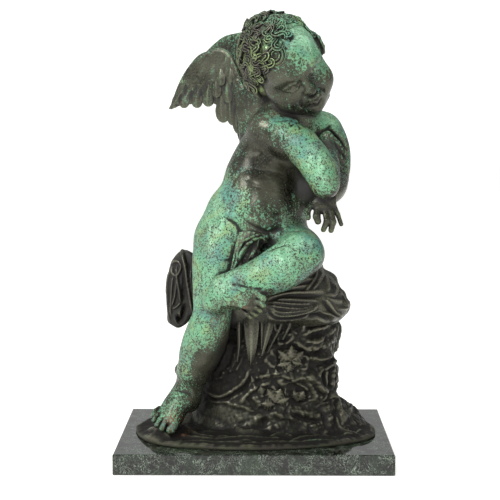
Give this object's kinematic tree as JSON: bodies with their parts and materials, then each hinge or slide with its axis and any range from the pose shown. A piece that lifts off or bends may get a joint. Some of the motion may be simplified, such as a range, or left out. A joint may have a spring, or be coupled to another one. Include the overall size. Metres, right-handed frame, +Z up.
{
  "type": "bronze putto statue",
  "caption": "Patinated bronze putto with wings, seated cross-legged on a draped tree stump with an oval ground, on a rectangular dark green marble plinth.",
  "frame": {"origin": "middle of the plinth's underside", "axes": "+Z up, +X to the right of a viewer who faces the front, -Y toward that viewer"},
  "size_m": [0.4, 0.3, 0.6666],
  "materials": {
    "bronze": "cast bronze, dark brown with green verdigris on the raised places",
    "marble": "polished dark green marble with pale veins"
  },
  "bodies": {
    "root": {"bronze_putto": "bronze", "marble_plinth": "marble"}
  },
  "joints": []
}
